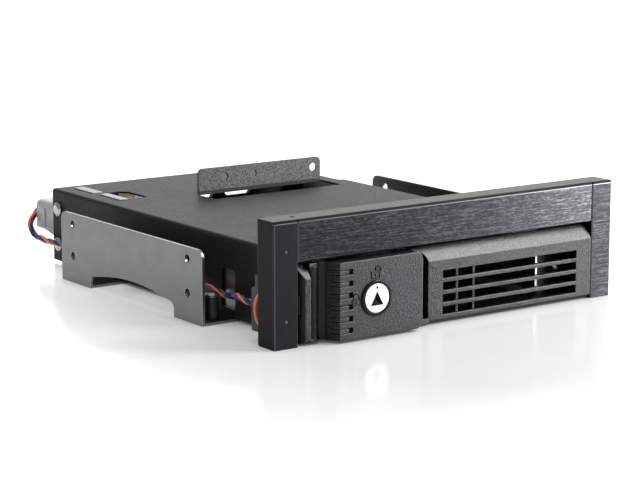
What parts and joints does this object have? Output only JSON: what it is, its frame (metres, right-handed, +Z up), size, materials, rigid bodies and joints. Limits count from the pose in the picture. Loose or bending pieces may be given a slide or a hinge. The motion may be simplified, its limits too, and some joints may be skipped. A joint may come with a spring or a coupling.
{
  "type": "hot swap drive cage",
  "caption": "Low drive cage for a half height bay: brushed bezel, grille tray on perforated rails with a folding key-locked lever, and side brackets with lead and connectors at the back.",
  "frame": {"origin": "middle of the footprint, on the floor", "axes": "+X to the right seen from the front, +Y from the front to the back, +Z up; the bezel faces -Y"},
  "size_m": [0.146, 0.1958, 0.042],
  "materials": {
    "black_moulding": "fine speckled",
    "anodised_plate": "satin",
    "brushed_plate": "brushed",
    "circuit_board": "gloss",
    "clear_lens": "gloss",
    "black_nylon": "satin",
    "painted_steel": "fine texture",
    "pale_nylon": "satin",
    "sticker": "satin",
    "zinc_steel": "satin",
    "bare_aluminium": "satin",
    "lead_sleeve": "satin",
    "wire_sleeve": "satin",
    "bright_screw": "bright",
    "black_screw": "satin",
    "spring_steel": "satin",
    "speckled_front": "speckled",
    "lock_metal": "bright",
    "tinned_pin": "bright"
  },
  "bodies": {
    "cage": {"bezel_frame": "black_moulding", "bezel_left_cap": "anodised_plate", "bezel_top_strip": "brushed_plate", "bezel_right_cap": "brushed_plate", "led_board": "circuit_board", "indicator_lights": "clear_lens", "led_plug": "black_nylon", "cage_shell": "painted_steel", "cage_floor": "painted_steel", "runner_left": "pale_nylon", "runner_right": "pale_nylon", "roof_labels": "sticker", "bracket_left": "zinc_steel", "bracket_right": "zinc_steel", "back_panel": "painted_steel", "backplane_board": "circuit_board", "board_sockets": "pale_nylon", "drive_connector": "black_nylon", "power_header": "pale_nylon", "power_pins": "tinned_pin", "data_header": "black_nylon", "lead_plug": "black_nylon", "led_lead": "lead_sleeve", "led_loop": "wire_sleeve", "lead_clip": "black_nylon", "wall_screws": "bright_screw", "bezel_screws": "bright_screw", "web_screw": "bright_screw", "board_screws": "bright_screw", "bracket_rivets": "zinc_steel", "spacer_post": "black_nylon", "spacer_screw": "bright_screw"},
    "tray": {"tray_front": "speckled_front", "tray_rail_left": "bare_aluminium", "tray_rail_right": "bare_aluminium", "lever_catch": "spring_steel", "lever_pin": "spring_steel", "tray_screws": "black_screw"},
    "lever": {"lever": "speckled_front", "lock_collar": "black_screw", "lock_nut": "black_screw"},
    "lock": {"lock_barrel": "lock_metal", "lock_cam": "zinc_steel"}
  },
  "joints": [
    {"name": "tray_slide", "type": "slide", "parent": "cage", "child": "tray", "axis": [0, -1, 0], "range_m": [0, 0.14]},
    {"name": "lever_hinge", "type": "hinge", "parent": "tray", "child": "lever", "pos_m": [-0.0567, -0.0904, 0.0137], "axis": [0, 0, -1], "range_deg": [0, 60]},
    {"name": "lock_turn", "type": "hinge", "parent": "lever", "child": "lock", "pos_m": [-0.0357, -0.0973, 0.0137], "axis": [0, -1, 0], "range_deg": [0, 90]}
  ]
}
